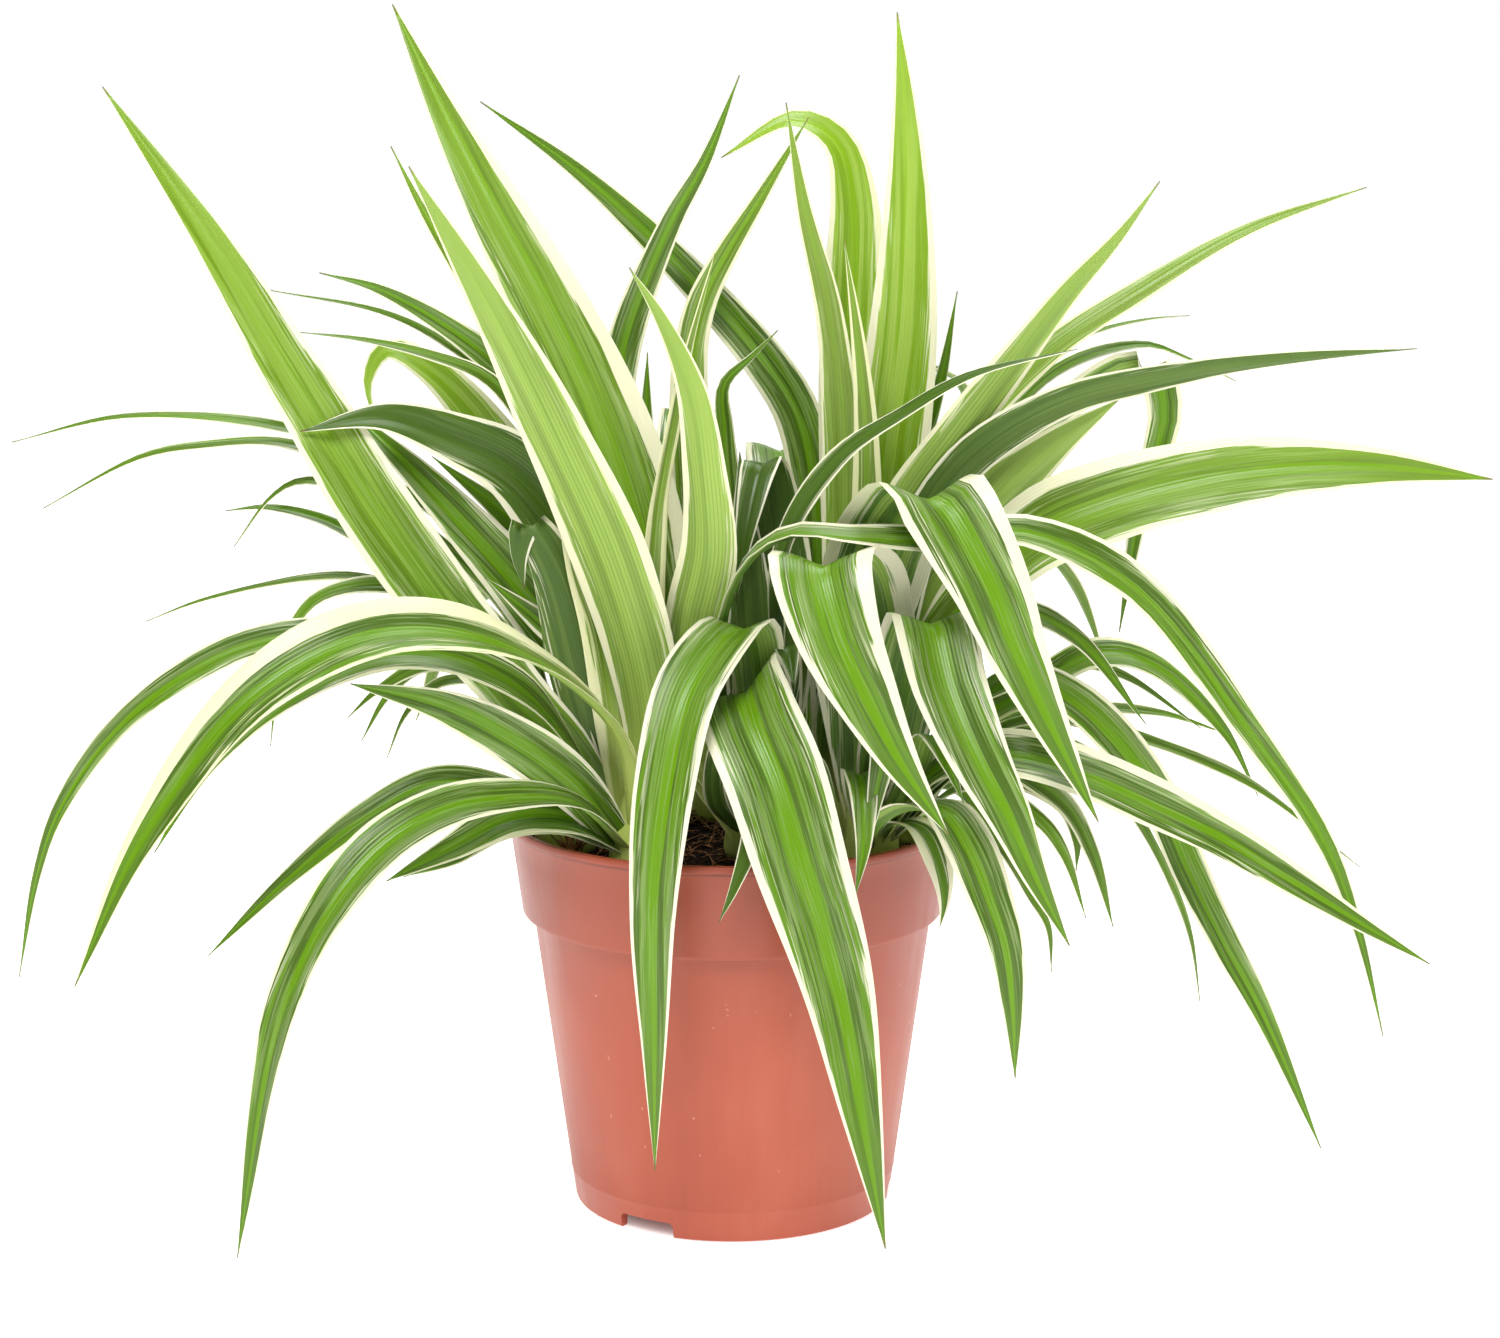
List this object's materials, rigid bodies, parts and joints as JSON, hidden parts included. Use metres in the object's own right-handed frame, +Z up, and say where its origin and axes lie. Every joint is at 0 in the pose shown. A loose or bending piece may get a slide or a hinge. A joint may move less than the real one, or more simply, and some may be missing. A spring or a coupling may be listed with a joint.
{
  "type": "potted spider plant",
  "caption": "Variegated spider plant, green strap leaves with cream margins arching from several crowns, growing in soil in a round tapered plastic nursery pot with drainage notches.",
  "frame": {"origin": "middle of the pot's foot, on the surface it stands on", "axes": "+Z up along the pot's axis, +X to the right and +Y to the back, as seen from the front"},
  "size_m": [0.3872, 0.1981, 0.3173],
  "materials": {
    "pot_plastic": "satin injection-moulded polypropylene, terracotta orange",
    "soil": null,
    "root": "dry brown root fibre",
    "leaf": null
  },
  "bodies": {
    "root": {"pot": "pot_plastic", "soil": "soil", "root_tuft": "root", "shoot_front_left": "leaf", "shoot_front_middle": "leaf", "shoot_right": "leaf", "shoot_front_right": "leaf", "shoot_far_right": "leaf", "shoot_left": "leaf", "shoot_back_left": "leaf", "shoot_back_middle": "leaf", "shoot_back_right": "leaf"}
  },
  "joints": []
}
